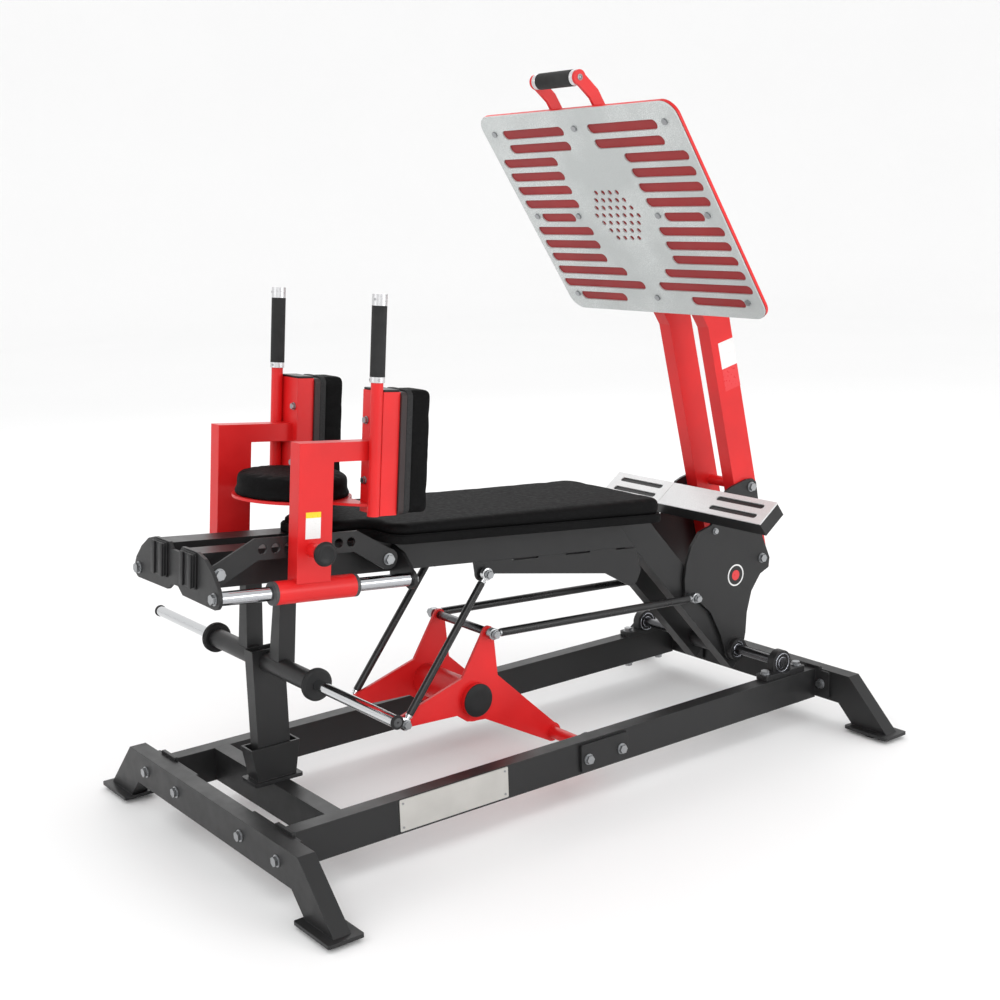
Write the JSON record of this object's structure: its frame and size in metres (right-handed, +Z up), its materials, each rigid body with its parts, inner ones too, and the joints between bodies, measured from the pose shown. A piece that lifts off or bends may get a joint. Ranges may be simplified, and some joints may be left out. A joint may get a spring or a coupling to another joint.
{
  "type": "leg press machine",
  "caption": "Leg press with a pivoting foot plate whose rocker, rods and crank lift the weighted bench about one rear shaft; sliding shoulder-pad carriage.",
  "frame": {"origin": "on the floor, under the middle of the machine's overall length and width", "axes": "+X from the head end to the foot-plate end, +Y to the user's left when lying down with the head towards -X, +Z up"},
  "size_m": [1.7594, 1.088, 1.6962],
  "materials": {
    "frame_black": "satin black powder coat",
    "lever_red": "gloss red powder coat",
    "plated_steel": "zinc-plated steel",
    "chrome": "polished chrome",
    "rubber_black": "matt",
    "plastic_black": "moulded, fine texture",
    "plastic_grey": "turned nylon",
    "vinyl_black": "grained upholstery vinyl over foam",
    "board_dark": "stained plywood",
    "plate_silver": "satin sheet metal"
  },
  "bodies": {
    "frame": {"front_crossbar": "frame_black", "rear_crossbar": "frame_black", "side_rails": "frame_black", "cross_tube": "frame_black", "rubber_feet": "rubber_black", "frame_bolts": "plated_steel", "column_cradle": "frame_black", "pillow_blocks": "frame_black", "bearing_inserts": "plated_steel", "crank_bearings": "frame_black", "crank_mount_plates": "frame_black", "nameplate": "plated_steel", "nameplate_rivets": "plated_steel"},
    "bench_lever": {"lever_beams": "frame_black", "end_caps": "plastic_black", "head_end_plate": "frame_black", "rod_end_plates": "frame_black", "guide_rods": "chrome", "index_strap": "frame_black", "lever_bolts": "plated_steel", "lever_side_plates": "frame_black", "lever_legs": "frame_black", "lever_hub": "frame_black", "rear_shaft": "chrome", "weight_column": "frame_black", "bar_sleeve": "frame_black", "weight_bar": "chrome", "stop_rings": "rubber_black", "bench_board": "board_dark", "bench_pad": "vinyl_black"},
    "carriage": {"slide_sleeves": "lever_red", "sleeve_bushings": "plastic_grey", "carriage_uprights": "lever_red", "pad_posts": "lever_red", "handle_tubes": "lever_red", "handle_grips": "rubber_black", "handle_collars": "plated_steel", "shoulder_boards": "board_dark", "shoulder_pads": "vinyl_black", "head_pad_plate": "lever_red", "head_pad": "vinyl_black", "pin_housing": "lever_red", "carriage_bolts": "plated_steel"},
    "pull_pin": {"pull_pin": "plated_steel", "pin_knob": "plastic_black"},
    "rocker": {"rocker_plates": "frame_black", "rocker_bearings": "plated_steel", "rocker_arms": "lever_red", "plate_backing": "lever_red", "foot_plate": "plate_silver", "rocker_bolts": "plated_steel", "grip_brackets": "lever_red", "top_grip": "rubber_black", "calf_bar": "frame_black", "calf_plates": "plate_silver"},
    "crank": {"crank_plates": "lever_red", "crank_tubes": "lever_red", "crank_bolts": "plated_steel"},
    "long_rods": {"long_rods": "frame_black"},
    "short_rods": {"short_rods": "frame_black"}
  },
  "joints": [
    {"name": "rocker_press", "type": "hinge", "parent": "frame", "child": "rocker", "pos_m": [0.7047, 0, 0.178], "axis": [0, 1, 0], "range_deg": [0, 20]},
    {"name": "bench_lift", "type": "hinge", "parent": "frame", "child": "bench_lever", "pos_m": [0.7047, 0, 0.178], "axis": [0, 1, 0], "range_deg": [0, 6.3]},
    {"name": "crank_swing", "type": "hinge", "parent": "frame", "child": "crank", "pos_m": [0.0577, 0, 0.1], "axis": [0, 1, 0], "range_deg": [0, 12.76]},
    {"name": "long_rod_pivot", "type": "hinge", "parent": "crank", "child": "long_rods", "pos_m": [-0.1308, 0, 0.3965], "axis": [0, 1, 0], "range_deg": [-13.99, 0]},
    {"name": "short_rod_pivot", "type": "hinge", "parent": "crank", "child": "short_rods", "pos_m": [-0.3853, 0, 0.232], "axis": [0, 1, 0], "range_deg": [-11.67, 0]},
    {"name": "carriage_slide", "type": "slide", "parent": "bench_lever", "child": "carriage", "axis": [0.9957, 0, -0.0924], "range_m": [-0.09171, 0.12228]},
    {"name": "pull_pin_slide", "type": "slide", "parent": "carriage", "child": "pull_pin", "axis": [0, 1, 0], "range_m": [0, 0.012]}
  ],
  "couplings": [
    {"joint": "bench_lift", "follows": "rocker_press", "ratio": 0.3142},
    {"joint": "crank_swing", "follows": "rocker_press", "ratio": 0.6372},
    {"joint": "long_rod_pivot", "follows": "rocker_press", "ratio": -0.6985},
    {"joint": "short_rod_pivot", "follows": "rocker_press", "ratio": -0.5823}
  ]
}
